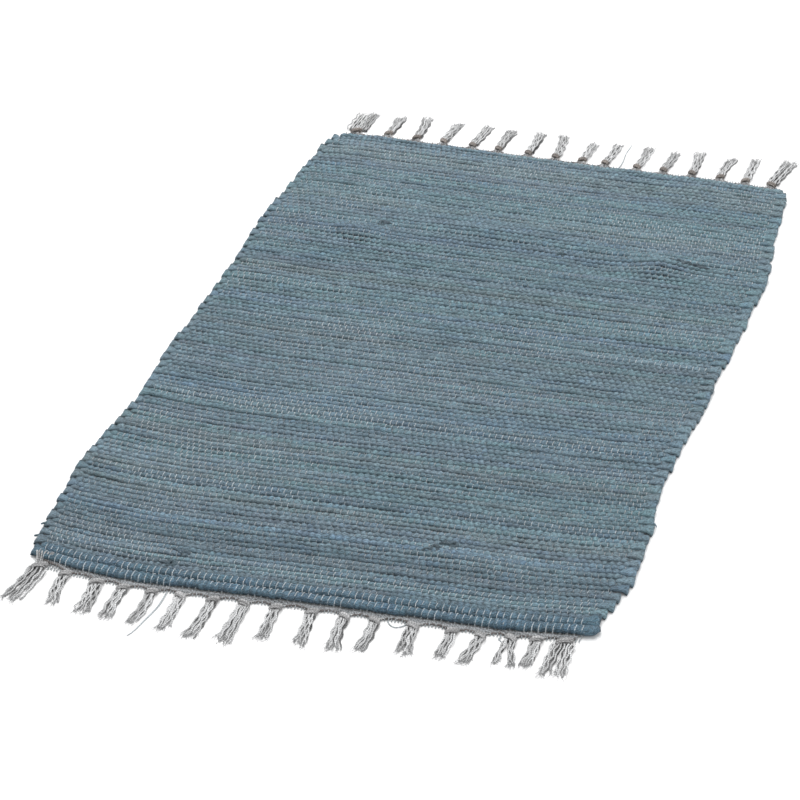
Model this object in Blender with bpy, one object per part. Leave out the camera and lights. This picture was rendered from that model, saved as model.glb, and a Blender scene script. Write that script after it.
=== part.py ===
"""A flat rag rug of about 60 x 90 cm with knotted fringes.

The ground is woven from passes of cotton rag on a grey yarn warp. At each end lies a narrow heading of
grey yarn, and past it the warp ends are knotted into tassels. Everything lies flat on the floor at z = 0.
The length runs along Y, with the near end at -Y, and the width along X.
"""
import math
import random
from collections import namedtuple

import bmesh
import bpy

MM = 0.001
FLOOR = 0.0
GAP = 0.3            # mm between pieces that touch
SEED = 27

# The ground's rag passes, in mm
PICKS = 126
THICK_PICKS = (1.8, 1.55)     # the first passes at the near end, as multiples of an ordinary one
THICK_CREST = 7.8
PICK_SPREAD = (0.84, 1.18)    # narrowest and widest ordinary pass, as multiples of the mean
CREST = (5.2, 6.3)            # lowest and highest top of a pass
VALLEY = 3.9                  # top surface between two passes
END_WALL = 2.4                # height of the ground's two cut ends
SELVEDGE_WALL = 3.2           # height of its long edges
NOTCH = 2.6                   # how far a selvedge is drawn in between two rag loops

# The headings, in mm
HEADING_WIDTH = 8.5
HEADING_RIDGE = 2.6
HEADING_GROOVE = 1.9
HEADING_STEPS = 2             # columns of the heading to one column of the ground
HEADING_ROWS = 4

# The knots and strands, in mm
KNOT_HALF = 5.5
KNOT_LENGTH = 8.5
KNOT_HEIGHT = 6.2
SEAT_STEPS = 8       # places on each half of a knot's back where it is held clear of the heading
STRAND_WIDTH = 1.3
STRAND_APART = 0.4            # least clear space between two strands past the knot
STRAND_HEIGHTS = (3.0, 2.4, 1.9, 1.2)     # at the knot, past it, half-way and at the tip
STRAND_STATIONS = (0.0, 0.18, 0.6, 1.0)   # where those heights are, as shares of the strand
LENGTH_SPREAD = 0.07          # strands are up to this share shorter

# The ground's long edges: share of the length from the near end, and x of each edge in mm
Side = namedtuple("Side", "along left right")
SIDES = (
    Side(0.000, -276, 280), Side(0.012, -284, 287), Side(0.040, -291, 292), Side(0.080, -295, 300),
    Side(0.120, -298, 304), Side(0.180, -304, 301), Side(0.220, -304, 298), Side(0.270, -297, 291),
    Side(0.330, -293, 292), Side(0.400, -298, 294), Side(0.450, -300, 299), Side(0.500, -298, 298),
    Side(0.570, -299, 300), Side(0.650, -298, 303), Side(0.720, -303, 304), Side(0.780, -304, 305),
    Side(0.840, -300, 297), Side(0.920, -297, 291), Side(0.970, -295, 288), Side(0.990, -291, 284),
    Side(1.000, -283, 276),
)

# The ground's ends: share of the width from the left, and y of each end in mm. The ground's columns of
# points lie at the same shares, with the second and the last but one just inside the selvedges.
End = namedtuple("End", "share near far")
ENDS = (
    End(0.000, -437.0, 460.0), End(0.012, -440.5, 463.5), End(0.090, -448.5, 465.5),
    End(0.190, -453.0, 461.0), End(0.320, -451.0, 456.0), End(0.460, -447.0, 450.0),
    End(0.600, -444.0, 445.5), End(0.710, -442.5, 442.5), End(0.830, -441.3, 440.5),
    End(0.900, -437.5, 437.0), End(0.988, -430.5, 432.0), End(1.000, -428.0, 430.0),
)

# Where the passes bend aside and rise: middle, reach each way, sideways shift and rise in mm
Wave = namedtuple("Wave", "x y reach_x reach_y shift rise")
WAVES = (
    Wave(-175, 236, 34, 18, 5.0, 1.4), Wave(-33, 270, 75, 20, 4.5, 0.5), Wave(113, 216, 42, 18, -6.0, 0.4),
    Wave(183, 232, 28, 18, 7.0, 2.2), Wave(-160, -398, 40, 12, 2.0, 1.4), Wave(140, -348, 40, 12, 2.0, 1.6),
    Wave(-60, 60, 120, 60, 2.5, 0.4), Wave(90, -120, 120, 60, -2.5, 0.5),
)

# The fringe: x of the knot, length past the heading, sideways lean and width at the tips in mm
Tassel = namedtuple("Tassel", "x length lean spread strands")
NEAR_TASSELS = (
    Tassel(-269, 60, -5, 18, 9), Tassel(-238, 48, 4, 12, 7), Tassel(-202, 51, 3, 18, 7),
    Tassel(-173, 50, 0, 13, 7), Tassel(-143, 52, -2, 12, 7), Tassel(-113, 55, 1, 12, 7),
    Tassel(-80, 62, -3, 15, 7), Tassel(-48, 66, -3, 17, 8), Tassel(-16, 50, 0, 12, 7),
    Tassel(20, 53, 3, 13, 7), Tassel(53, 53, 3, 15, 7), Tassel(83, 49, -2, 13, 7),
    Tassel(121, 44, 2, 17, 8), Tassel(159, 42, -1, 12, 7), Tassel(187, 44, -5, 12, 7),
    Tassel(216, 42, -3, 16, 7), Tassel(240, 43, -1, 11, 6), Tassel(266, 54, 3, 19, 9),
)
FAR_TASSELS = (
    Tassel(-265, 56, -3, 28, 10), Tassel(-225, 52, -1, 14, 7), Tassel(-187, 62, -6, 14, 7),
    Tassel(-151, 57, 2, 12, 7), Tassel(-113, 60, 1, 12, 7), Tassel(-79, 58, -2, 14, 7),
    Tassel(-40, 62, -2, 13, 7), Tassel(-5, 64, -6, 12, 7), Tassel(29, 52, -1, 12, 7),
    Tassel(58, 57, 1, 12, 7), Tassel(98, 58, 1, 12, 7), Tassel(131, 55, 2, 12, 7),
    Tassel(166, 60, -4, 12, 7), Tassel(201, 56, 1, 15, 7), Tassel(232, 62, -3, 12, 7),
    Tassel(264, 68, 5, 18, 9),
)

# Single warp ends that hang out of a heading between two tassels: x, length and sideways lean in mm
Stray = namedtuple("Stray", "x length lean")
NEAR_STRAY = Stray(-129, 72, -13)
FAR_STRAY = Stray(77, 60, -2)

RAG_BLUE = (0.145, 0.205, 0.245, 1.0)
YARN_GREY = (0.36, 0.36, 0.37, 1.0)


def between(table, column, at, value):
    """Read one column of a table between its rows, along a rising column."""
    for low, high in zip(table, table[1:]):
        if at <= getattr(high, column):
            break
    start = getattr(low, column)
    share = (at - start) / (getattr(high, column) - start)
    return getattr(low, value) + (getattr(high, value) - getattr(low, value)) * share


def pick_edges():
    """Where each rag pass ends, as a share of the ground's length, and the height of its top."""
    chance = random.Random(SEED)
    widths = [chance.uniform(*PICK_SPREAD) for _ in range(PICKS)]
    crests = [chance.uniform(*CREST) for _ in range(PICKS)]
    for number, times in enumerate(THICK_PICKS):
        widths[number] = times
        crests[number] = THICK_CREST
    edges = [0.0]
    for width in widths:
        edges.append(edges[-1] + width)
    return [edge / edges[-1] for edge in edges], crests


def ground_rows():
    """The ground's rows of points: share of the length, height, and which long edges are drawn in there."""
    edges, crests = pick_edges()
    rows = []
    for number, crest in enumerate(crests):
        start, end = edges[number], edges[number + 1]
        turns_left = number % 2 == 0
        rows.append((start, VALLEY if number else END_WALL, "left" if turns_left else "right"))
        if crest == THICK_CREST:
            shoulder = 0.86 * crest
            rows.append((start + 0.2 * (end - start), shoulder, ""))
            rows.append((0.5 * (start + end), crest, ""))
            rows.append((start + 0.8 * (end - start), shoulder, ""))
        else:
            rows.append((0.5 * (start + end), crest, ""))
    rows.append((1.0, END_WALL, ""))
    return rows


def bend(x, y):
    """How far the passes are shifted along Y and raised at one place of the ground."""
    shift = rise = 0.0
    for wave in WAVES:
        near = math.exp(-((x - wave.x) / wave.reach_x) ** 2 - ((y - wave.y) / wave.reach_y) ** 2)
        shift += wave.shift * near
        rise += wave.rise * near
    return shift, rise


def colour(name, base, roughness):
    """A plain cloth finish."""
    material = bpy.data.materials.new(name)
    material.use_nodes = True
    shader = material.node_tree.nodes["Principled BSDF"]
    shader.inputs["Base Color"].default_value = base
    shader.inputs["Roughness"].default_value = roughness
    shader.inputs["Metallic"].default_value = 0.0
    return material


def finish(bm, name, material, collection):
    """Turn the faces outwards and make the piece an object."""
    bmesh.ops.recalc_face_normals(bm, faces=bm.faces)
    mesh = bpy.data.meshes.new(name)
    bm.to_mesh(mesh)
    bm.free()
    mesh.materials.append(material)
    piece = bpy.data.objects.new(name, mesh)
    collection.objects.link(piece)
    return piece


def close_below(bm):
    """Draw the open rim straight down to the floor and fill the flat underside."""
    rim = [edge for edge in bm.edges if edge.is_boundary]
    drawn = bmesh.ops.extrude_edge_only(bm, edges=rim)["geom"]
    for vert in drawn:
        if isinstance(vert, bmesh.types.BMVert):
            vert.co.z = FLOOR
    rim = [edge for edge in bm.edges if edge.is_boundary]
    under = bmesh.ops.holes_fill(bm, edges=rim, sides=0)["faces"]
    bmesh.ops.triangulate(bm, faces=under, ngon_method="BEAUTY")


def sheet(columns, rows, place):
    """A grid of points, each put where place(column, row) says in mm, closed down to the floor."""
    bm = bmesh.new()
    bmesh.ops.create_grid(bm, x_segments=columns - 1, y_segments=rows - 1, size=0.5)
    for vert in bm.verts:
        column = round((vert.co.x + 0.5) * (columns - 1))
        row = round((vert.co.y + 0.5) * (rows - 1))
        x, y, z = place(column, row)
        vert.co = (x * MM, y * MM, z * MM)
    close_below(bm)
    return bm


def ground(material, collection):
    """The woven ground: a slab with a rib for each rag pass and scalloped long edges."""
    rows = ground_rows()
    last = len(ENDS) - 1

    def place(column, row):
        along, height, notch = rows[row]
        end = ENDS[column]
        left = between(SIDES, "along", along, "left")
        right = between(SIDES, "along", along, "right")
        if notch == "left" and 0 < row:
            left += NOTCH
        if notch == "right":
            right -= NOTCH
        x = left + (right - left) * end.share
        y = end.near + (end.far - end.near) * along
        if row in (0, len(rows) - 1):
            return x, y, height
        if column in (0, last):
            return x, y, min(height, SELVEDGE_WALL)
        shift, rise = bend(x, y)
        return x, y + shift, height + rise

    return finish(sheet(len(ENDS), len(rows), place), "cloth", material, collection)


def end_point(share, side):
    """A point of the ground's near or far end, in mm."""
    along = 0.0 if side < 0 else 1.0
    left = between(SIDES, "along", along, "left")
    right = between(SIDES, "along", along, "right")
    y = between(ENDS, "share", share, "near" if side < 0 else "far")
    return left + (right - left) * share, y


def end_at(x, side):
    """y of the ground's near or far end at one x, in mm."""
    left, _ = end_point(0.0, side)
    right, _ = end_point(1.0, side)
    return end_point((x - left) / (right - left), side)[1]


def heading_edge(x, side):
    """y of a heading's outer edge at one x, in mm."""
    return end_at(x, side) + side * HEADING_WIDTH


def heading_shares():
    """Shares of the width at a heading's columns: the ground's, corners left out, and ones between them."""
    shares = [end.share for end in ENDS[1:-1]]
    steps = []
    for low, high in zip(shares, shares[1:]):
        steps += [low + (high - low) * step / HEADING_STEPS for step in range(HEADING_STEPS)]
    return steps + [shares[-1]]


def heading(name, side, stray, material, collection):
    """A narrow band of grey yarn laid along one end of the ground, with a loose warp end drawn out of it."""
    shares = heading_shares()

    def place(column, row):
        x, inner = end_point(shares[column], side)
        inner += side * GAP
        outer = heading_edge(x, side)
        height = HEADING_RIDGE if row % 2 else HEADING_GROOVE
        return x, inner + (outer - inner) * row / HEADING_ROWS, height

    bm = sheet(len(shares), HEADING_ROWS + 1, place)
    draw_stray(bm, stray, side)
    return finish(bm, name, material, collection)


def draw_stray(bm, stray, side):
    """Draw one thin strand out of the heading's outer wall, down to the floor and along it."""
    walls = [face for face in bm.faces if len(face.verts) == 4 and abs(face.normal.z) < 0.1]
    outer = [face for face in walls if is_outer(face.calc_center_median(), side)]
    tip = min(outer, key=lambda face: abs(face.calc_center_median().x - stray.x * MM))
    bmesh.ops.inset_individual(bm, faces=[tip], thickness=0.3 * HEADING_GROOVE * MM)
    half = 0.5 * STRAND_WIDTH
    for share in STRAND_STATIONS:
        if share > 0.0:
            tip = bmesh.ops.extrude_discrete_faces(bm, faces=[tip])["faces"][0]
        middle = stray.x + stray.lean * share ** 3
        low, high = (0.0, STRAND_WIDTH) if share > 0.0 else (0.25 * HEADING_GROOVE, 0.75 * HEADING_GROOVE)
        corners = sorted(tip.verts, key=lambda vert: (vert.co.z > tip.calc_center_median().z, vert.co.x))
        for vert, offset, height in zip(corners, (-half, half, -half, half), (low, low, high, high)):
            x = middle + offset
            y = heading_edge(x, side) + side * stray.length * share
            vert.co = (x * MM, y * MM, height * MM)


def is_outer(middle, side):
    """Whether a place is on a heading's outer wall rather than on the side of the ground."""
    past = side * (middle.y / MM - end_at(middle.x / MM, side))
    return past > 0.9 * HEADING_WIDTH


def seat(x, middle, reach, side):
    """y at one x of a straight line laid against the heading's edge, as wide as a knot's back, in mm."""
    low = heading_edge(middle - reach, side)
    high = heading_edge(middle + reach, side)
    bulge = 0.0
    for step in range(1, 2 * SEAT_STEPS):
        share = step / (2 * SEAT_STEPS)
        edge = heading_edge(middle + reach * (2.0 * share - 1.0), side)
        bulge = max(bulge, side * (edge - low - (high - low) * share))
    return low + (high - low) * (x - middle + reach) / (2.0 * reach) + side * bulge


def knot_sections(half):
    """The knot's cross-sections: distance past the heading, half width and height, in mm."""
    return (
        (KNOT_LENGTH, half, STRAND_HEIGHTS[0]),
        (0.66 * KNOT_LENGTH, 1.12 * half, KNOT_HEIGHT),
        (0.28 * KNOT_LENGTH, 1.05 * half, 0.94 * KNOT_HEIGHT),
        (GAP, 0.7 * half, 0.42 * KNOT_HEIGHT),
    )


def tassel(name, row, side, chance, material, collection):
    """A knot of warp ends with its strands drawn out of it, all resting on the floor."""
    count = row.strands
    half = max(KNOT_HALF, 0.5 * count * (STRAND_WIDTH + 0.05))
    sections = knot_sections(half)
    root = heading_edge(row.x, side)
    bm = bmesh.new()
    bmesh.ops.create_grid(bm, x_segments=count + 1, y_segments=len(sections) - 1, size=0.5)
    front = {}
    back = {}
    for vert in bm.verts:
        across = round((vert.co.x + 0.5) * (count + 1))
        number = round((vert.co.y + 0.5) * (len(sections) - 1))
        past, reach, height = sections[number]
        share = 1.0 if across == count + 1 else (across - 0.5) / count
        share = max(share, 0.0)
        sideways = 2.0 * share - 1.0
        dome = (1.0 - abs(sideways) ** 2.6) ** 0.5
        x = row.x + reach * sideways
        y = root + side * past
        if number == 0:
            front[across] = vert
        if number == len(sections) - 1:
            back[across] = vert
            y = seat(x, row.x, reach, side) + side * past
        vert.co = (x * MM, y * MM, height * dome * MM)
    bm.faces.new([back[across] for across in sorted(back)])
    close_front(bm, front, count, half, row, root, side, chance)
    rim = [edge for edge in bm.edges if edge.is_boundary]
    under = bmesh.ops.holes_fill(bm, edges=rim, sides=0)["faces"]
    bmesh.ops.triangulate(bm, faces=under, ngon_method="BEAUTY")
    return finish(bm, name, material, collection)


def close_front(bm, front, count, half, row, root, side, chance):
    """Fill the knot's front with upright triangles, and draw a strand out of every second one."""
    wall = (root + side * KNOT_LENGTH) * MM
    feet = [front[0]]
    for number in range(1, count):
        feet.append(bm.verts.new(((row.x + half * (2.0 * number / count - 1.0)) * MM, wall, FLOOR)))
    feet.append(front[count + 1])
    tops = [front[number] for number in range(1, count + 1)]
    roots = [bm.faces.new((feet[i], feet[i + 1], tops[i])) for i in range(count)]
    for i in range(count - 1):
        bm.faces.new((tops[i], feet[i + 1], tops[i + 1]))
    bow = chance.uniform(-1.6, 1.6)
    for number, face in enumerate(roots):
        length = (row.length - KNOT_LENGTH) * (1.0 - chance.uniform(0.0, LENGTH_SPREAD))
        draw_strand(bm, face, number, length, bow, half, row, wall, side)


def draw_strand(bm, face, number, length, bow, half, row, wall, side):
    """Draw one three-sided strand out of its root, along the floor to its tip."""
    count = row.strands
    root_pitch = 2.0 * half / count
    tip_pitch = max(row.spread / (count - 1), STRAND_WIDTH + STRAND_APART)
    place = number - 0.5 * (count - 1)
    tip = face
    for share, height in list(zip(STRAND_STATIONS, STRAND_HEIGHTS))[1:]:
        tip = bmesh.ops.extrude_discrete_faces(bm, faces=[tip])["faces"][0]
        opened = min(1.0, share / STRAND_STATIONS[1])
        first_pitch = max(root_pitch, STRAND_WIDTH + STRAND_APART)
        pitch = root_pitch + (first_pitch - root_pitch) * opened + (tip_pitch - first_pitch) * share * opened
        middle = row.x + place * pitch + row.lean * share ** 1.5 + bow * math.sin(math.pi * share)
        y = wall + side * length * share * MM
        corners = sorted(tip.verts, key=lambda vert: (vert.co.z > 0.5 * MM, vert.co.x))
        offsets = (-0.5 * STRAND_WIDTH, 0.5 * STRAND_WIDTH, 0.0)
        for vert, offset, level in zip(corners, offsets, (0.0, 0.0, height)):
            vert.co = ((middle + offset) * MM, y, level * MM)


def main():
    for old in list(bpy.data.objects):
        bpy.data.objects.remove(old, do_unlink=True)
    collection = bpy.data.collections.new("rag_rug")
    bpy.context.scene.collection.children.link(collection)
    rag = colour("rag_cotton", RAG_BLUE, 0.92)
    yarn = colour("grey_yarn", YARN_GREY, 0.88)
    chance = random.Random(SEED + 1)
    ground(rag, collection)
    for label, side, tassels, stray in (
        ("near", -1, NEAR_TASSELS, NEAR_STRAY),
        ("far", 1, FAR_TASSELS, FAR_STRAY),
    ):
        heading(f"heading_{label}", side, stray, yarn, collection)
        for number, row in enumerate(tassels, 1):
            tassel(f"tassel_{label}_{number:02d}", row, side, chance, yarn, collection)


main()
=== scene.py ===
# %% [markdown]
# # A kitchen mat woven from cotton rags
#
# The mat is a small rag rug. Torn strips of old blue cotton are beaten in between grey warp yarns, and at
# both ends the warp is knotted into tassels. Everything on it is cloth or yarn, so all of it is made here as
# strands on the lines of the packed solids: the rag passes, the warp that crosses them, the two yarn headings
# and the tassels.

# %% Frame, units and helpers
import math
import random
from collections import namedtuple

import bpy
import numpy as np
from mathutils import Matrix, Vector


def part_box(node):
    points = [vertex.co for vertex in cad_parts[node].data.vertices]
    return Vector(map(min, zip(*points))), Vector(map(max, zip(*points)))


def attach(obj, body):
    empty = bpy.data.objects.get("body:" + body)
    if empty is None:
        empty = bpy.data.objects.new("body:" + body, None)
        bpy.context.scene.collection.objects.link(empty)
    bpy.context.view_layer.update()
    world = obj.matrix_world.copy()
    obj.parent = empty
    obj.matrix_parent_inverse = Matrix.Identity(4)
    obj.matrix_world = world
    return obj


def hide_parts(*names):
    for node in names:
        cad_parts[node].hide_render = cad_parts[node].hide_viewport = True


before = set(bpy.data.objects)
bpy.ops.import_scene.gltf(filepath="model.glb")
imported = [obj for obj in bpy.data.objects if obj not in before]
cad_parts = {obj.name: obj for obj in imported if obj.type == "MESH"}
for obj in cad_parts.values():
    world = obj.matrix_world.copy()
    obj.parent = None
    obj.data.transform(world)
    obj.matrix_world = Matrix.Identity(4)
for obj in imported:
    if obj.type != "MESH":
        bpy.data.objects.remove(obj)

MM = 0.001
UP = np.array([0.0, 0.0, 1.0])
SEED = 27
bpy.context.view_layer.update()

# %% [markdown]
# ## Camera and studio
#
# The mat was seen from about three metres away with a long lens, from its near right corner and a third of
# the way up, with the picture turned by a few degrees. The floor is plain and nearly white, and the light is
# soft and comes from high up, with a little more of it from behind the mat, so that the valleys between the
# passes stay dark.

# %% Camera
PICTURE = 800            # pixels each way
FOCAL = 2784             # focal length in pixels
SENSOR = 36.0            # width of the camera's sensor in mm
AZIMUTH, ELEVATION, ROLL = (math.radians(angle) for angle in (21.4, 33.1, -4.7))
DISTANCE = 2.95
AIM = Vector((-0.018, -0.086, 0.0))

back = Vector((
    math.sin(AZIMUTH) * math.cos(ELEVATION),
    -math.cos(AZIMUTH) * math.cos(ELEVATION),
    math.sin(ELEVATION),
))
right = Vector((math.cos(AZIMUTH), math.sin(AZIMUTH), 0.0))
turn = Matrix.Rotation(ROLL, 3, back)
right = turn @ right
up = back.cross(right)
bpy.ops.object.camera_add(location=AIM + DISTANCE * back)
camera = bpy.context.object
camera.matrix_world = Matrix.Translation(camera.location) @ Matrix((right, up, back)).transposed().to_4x4()
camera.data.lens = FOCAL / PICTURE * SENSOR
camera.data.sensor_width = SENSOR
bpy.context.scene.camera = camera
print("camera at", tuple(round(value, 3) for value in camera.location), "lens", round(camera.data.lens, 1))

# %% Floor and lights
FLOOR_SIZE = 14.0
FLOOR_WHITE = 0.9
ROOM_LIGHT = 0.55
LIGHTS = (  # name, place, size and power in watts; each one faces the mat
    ("key", (-1.2, 2.2, 3.2), 2.4, 95),
    ("fill", (2.6, -2.4, 2.6), 3.0, 50),
    ("top", (0.2, -0.2, 4.0), 3.0, 60),
)


def plain(name, colour, roughness):
    """A plain material for the studio."""
    material = bpy.data.materials.new(name)
    material.use_nodes = True
    shader = material.node_tree.nodes["Principled BSDF"]
    shader.inputs["Base Color"].default_value = (colour, colour, colour, 1.0)
    shader.inputs["Roughness"].default_value = roughness
    shader.inputs["Specular IOR Level"].default_value = 0.1
    return material


bpy.ops.mesh.primitive_plane_add(size=FLOOR_SIZE)
floor = bpy.context.object
floor.name = "floor"
floor.data.materials.append(plain("studio_floor", FLOOR_WHITE, 0.9))
for name, place, size, power in LIGHTS:
    bpy.ops.object.light_add(type="AREA", location=place)
    light = bpy.context.object
    light.name = name
    light.data.shape = "DISK"
    light.data.size = size
    light.data.energy = power
    light.rotation_euler = (-Vector(place)).to_track_quat("-Z", "Y").to_euler()
world = bpy.data.worlds.new("studio")
world.use_nodes = True
world.node_tree.nodes["Background"].inputs["Color"].default_value = (1.0, 1.0, 1.0, 1.0)
world.node_tree.nodes["Background"].inputs["Strength"].default_value = ROOM_LIGHT
bpy.context.scene.world = world
bpy.context.scene.view_settings.view_transform = "Standard"
print("lights:", [row[0] for row in LIGHTS])

# %% [markdown]
# ## Shader helpers
#
# Patterns read as maths when a shader socket can be added and multiplied, so a small class wraps the sockets.
# A second class holds one cloth material and makes each of its nodes with one method.


# %% Shader sockets
class Socket:
    """A shader socket that can be added, subtracted and multiplied."""

    def __init__(self, paint, out):
        self.paint = paint
        self.out = out

    def maths(self, operation, *values):
        return self.paint.node("ShaderNodeMath", {"operation": operation}, values)

    def __add__(self, other):
        return self.maths("ADD", self, other)

    def __sub__(self, other):
        return self.maths("SUBTRACT", self, other)

    def __mul__(self, other):
        return self.maths("MULTIPLY", self, other)

    def __rsub__(self, other):
        return self.maths("SUBTRACT", other, self)

    __radd__ = __add__
    __rmul__ = __mul__

    def sine(self):
        return self.maths("SINE", self)

    def ramp(self, low, high):
        """0 up to low, 1 from high on, and smooth between them."""
        settings = {"interpolation_type": "SMOOTHSTEP"}
        inputs = {"Value": self, "From Min": low, "From Max": high}
        return self.paint.node("ShaderNodeMapRange", settings, inputs)


print("a socket can:", [name for name in vars(Socket) if not name.startswith("_")])

# %% Cloth materials
MIX_SHARE, MIX_FIRST, MIX_SECOND, MIX_COLOUR = 0, 6, 7, 2     # sockets of a colour mix, by number


class Paint:
    """One cloth material and its nodes."""

    def __init__(self, name):
        self.material = bpy.data.materials.new(name)
        self.material.use_nodes = True
        self.tree = self.material.node_tree
        self.shader = self.tree.nodes["Principled BSDF"]

    def node(self, kind, settings, inputs, output=0):
        made = self.tree.nodes.new(kind)
        for key, value in settings.items():
            setattr(made, key, value)
        pairs = inputs.items() if isinstance(inputs, dict) else enumerate(inputs)
        for key, value in pairs:
            self.feed(made.inputs[key], value)
        return Socket(self, made.outputs[output])

    def feed(self, socket, value):
        if isinstance(value, Socket):
            self.tree.links.new(value.out, socket)
        else:
            socket.default_value = value

    def mix(self, share, first, second, blend="MIX"):
        settings = {"data_type": "RGBA", "blend_type": blend}
        inputs = {MIX_SHARE: share, MIX_FIRST: first, MIX_SECOND: second}
        return self.node("ShaderNodeMix", settings, inputs, MIX_COLOUR)

    def strand(self):
        """Millimetres along a strand and round it, from the map that every strand carries."""
        place = self.node("ShaderNodeUVMap", {"uv_map": "Strand"}, {})
        split = self.node("ShaderNodeSeparateXYZ", {}, [place])
        return split, Socket(self, split.out.node.outputs["Y"])

    def noise(self, x, y, detail=3.0, roughness=0.55):
        """A flat pattern of noise about 1 unit coarse, from 0 to 1."""
        place = self.node("ShaderNodeCombineXYZ", {}, [x, y])
        settings = {"noise_dimensions": "2D"}
        inputs = {"Vector": place, "Scale": 1.0, "Detail": detail, "Roughness": roughness}
        return self.node("ShaderNodeTexNoise", settings, inputs)

    def dye(self):
        """The strand's colour from its points: its dye, with painted shade and light where a strand carries
        them.
        """
        return self.node("ShaderNodeVertexColor", {"layer_name": "dye"}, {})

    def grey(self, value):
        return self.node("ShaderNodeCombineColor", {"mode": "RGB"}, [value, value, value])

    def finish(self, colour, roughness, height, depth, sheen):
        """Feed the patterns to the shader. depth is how high the bump rises."""
        self.feed(self.shader.inputs["Base Color"], colour)
        self.feed(self.shader.inputs["Roughness"], roughness)
        inputs = {"Height": height, "Distance": depth, "Strength": 1.0}
        self.feed(self.shader.inputs["Normal"], self.node("ShaderNodeBump", {}, inputs))
        self.shader.inputs["Specular IOR Level"].default_value = 0.2
        self.shader.inputs["Sheen Weight"].default_value = sheen
        self.shader.inputs["Sheen Roughness"].default_value = 0.6
        return self.material


print("a cloth material can:", [name for name in vars(Paint) if not name.startswith("_")])

# %% [markdown]
# ## Rag cotton
#
# Each strip is torn from old cotton and bunched up as it is beaten in. Its dye is uneven along the strip, and
# creases cross it at a slant, with painted shade in them. The torn weave shows as a fine grain, and bits of
# pale lint cling to it. The dye of each strip, with painted shade and light from the weave, is carried by its
# points, and the rest follows the strip's own map.

# %% Rag cotton material
PLAIN_TINT = (1.0, 1.05, 1.07, 1.0)
TEAL_TINT = (0.93, 1.05, 1.05, 1.0)     # uneven fading turns stretches of a strip greener, bluer or redder
BLUE_TINT = (0.9, 1.0, 1.1, 1.0)
MAUVE_TINT = (0.98, 0.99, 1.04, 1.0)
CREASE_DEPTH = 3.2       # mm of bump on the rags
LINT = (0.4, 0.45, 0.48, 1.0)


def rag_cotton():
    paint = Paint("rag_cotton")
    along, around = paint.strand()
    mottle = paint.noise(along * 0.045, around * 0.05)
    hue = paint.noise(along * 0.022 + 31.0, around * 0.03, 2.0)
    other = paint.noise(along * 0.025 + 67.0, around * 0.03, 2.0)
    streak = paint.noise((along + around * 0.8) * 0.24, around * 1.1, 2.0)
    crease = paint.noise((along - around * 1.3) * 0.45, around * 0.9, 4.0, 0.7)
    grain = (along * 5.2).sine() * (around * 5.2).sine()
    lint = paint.noise(along * 0.7, around * 2.2, 1.0)
    value = 0.68 + mottle * 0.4 + streak * 0.36
    # painted shade: the colour is darker where the creases' bump is low
    value = value * (0.34 + crease.ramp(0.3, 0.62) * 0.82)
    tint = paint.mix(hue.ramp(0.54, 0.7), PLAIN_TINT, TEAL_TINT)
    tint = paint.mix((1.0 - hue).ramp(0.56, 0.7), tint, MAUVE_TINT)
    tint = paint.mix(other.ramp(0.57, 0.7), tint, BLUE_TINT)
    colour = paint.mix(1.0, paint.dye(), tint, "MULTIPLY")
    colour = paint.mix(1.0, colour, paint.grey(value), "MULTIPLY")
    colour = paint.mix(lint.ramp(0.58, 0.78) * 0.5, colour, LINT)
    roughness = 0.84 + streak * 0.14
    height = crease * 0.7 + streak * 0.25 + grain * 0.02
    return paint.finish(colour, roughness, height, CREASE_DEPTH * MM, 0.1)


RAG = rag_cotton()
print("rag cotton:", len(RAG.node_tree.nodes), "nodes")

# %% [markdown]
# ## Grey yarn
#
# The warp is a thin two-ply cotton yarn, light grey and a little hairy. Its twist shows as slanting
# grooves with painted shade in them, and its dye is paler in some places than in others.

# %% Yarn material
TWIST = 0.36             # turns of the yarn's two plies in each mm
YARN_DEPTH = 0.5         # mm of bump on the yarn


def grey_yarn():
    paint = Paint("grey_yarn")
    along, around = paint.strand()
    ply = ((along * TWIST + around) * (2.0 * math.pi)).sine()
    fleck = paint.noise(along * 0.5, around * 1.5)
    fuzz = paint.noise(along * 3.0, around * 4.0, 2.0)
    # painted shade: darker in the twist's grooves and a little where the fuzz is low, as the bump is; fleck
    # is uneven dye
    value = 0.8 + ply * 0.2 + (fleck - 0.5) * 0.6 + (fuzz - 0.5) * 0.2
    colour = paint.mix(1.0, paint.dye(), paint.grey(value), "MULTIPLY")
    height = ply * 0.35 + fuzz * 0.3
    return paint.finish(colour, 0.8 + fuzz * 0.16, height, YARN_DEPTH * MM, 0.15)


YARN = grey_yarn()
print("grey yarn:", len(YARN.node_tree.nodes), "nodes")

# %% [markdown]
# ## Strands
#
# A rag, a warp end and a fringe yarn are all long closed tubes of changing width and height that follow a
# line, so one class makes them all, as sections swept along the line. It also lays out two maps: one packed
# for the mat's textures, and one in millimetres along and round the strand for its patterns.


# %% Small helpers
def section(sides, start=0.0):
    """Points of a regular outline, as shares of the half width and half height."""
    angles = start + np.arange(sides) * 2.0 * math.pi / sides
    return np.stack([np.cos(angles), np.sin(angles)], 1)


def unit(rows):
    """Rows scaled to a length of 1."""
    return rows / np.maximum(np.linalg.norm(rows, axis=1, keepdims=True), 1e-12)


def filled(value, count):
    """One value for each section, also where the same one serves them all."""
    return np.broadcast_to(np.asarray(value, float), (count,))


def between(pair, share):
    """From the first of two values at share 0 to the second one at share 1."""
    return np.interp(share, (0.0, 1.0), pair)


def shaded(dye, light):
    """A dye with its own light at each section of a strand."""
    return dye[None] * light[:, None]


def wander(chance, count, step, reach):
    """A smooth random run of values between -reach and reach, with a turn every few steps."""
    knots = [chance.uniform(-reach, reach) for _ in range(int(count / step) + 3)]
    at = np.arange(count) / step
    low = at.astype(int)
    share = at - low
    share = share * share * (3.0 - 2.0 * share)
    knots = np.array(knots)
    return knots[low] * (1.0 - share) + knots[low + 1] * share


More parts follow.
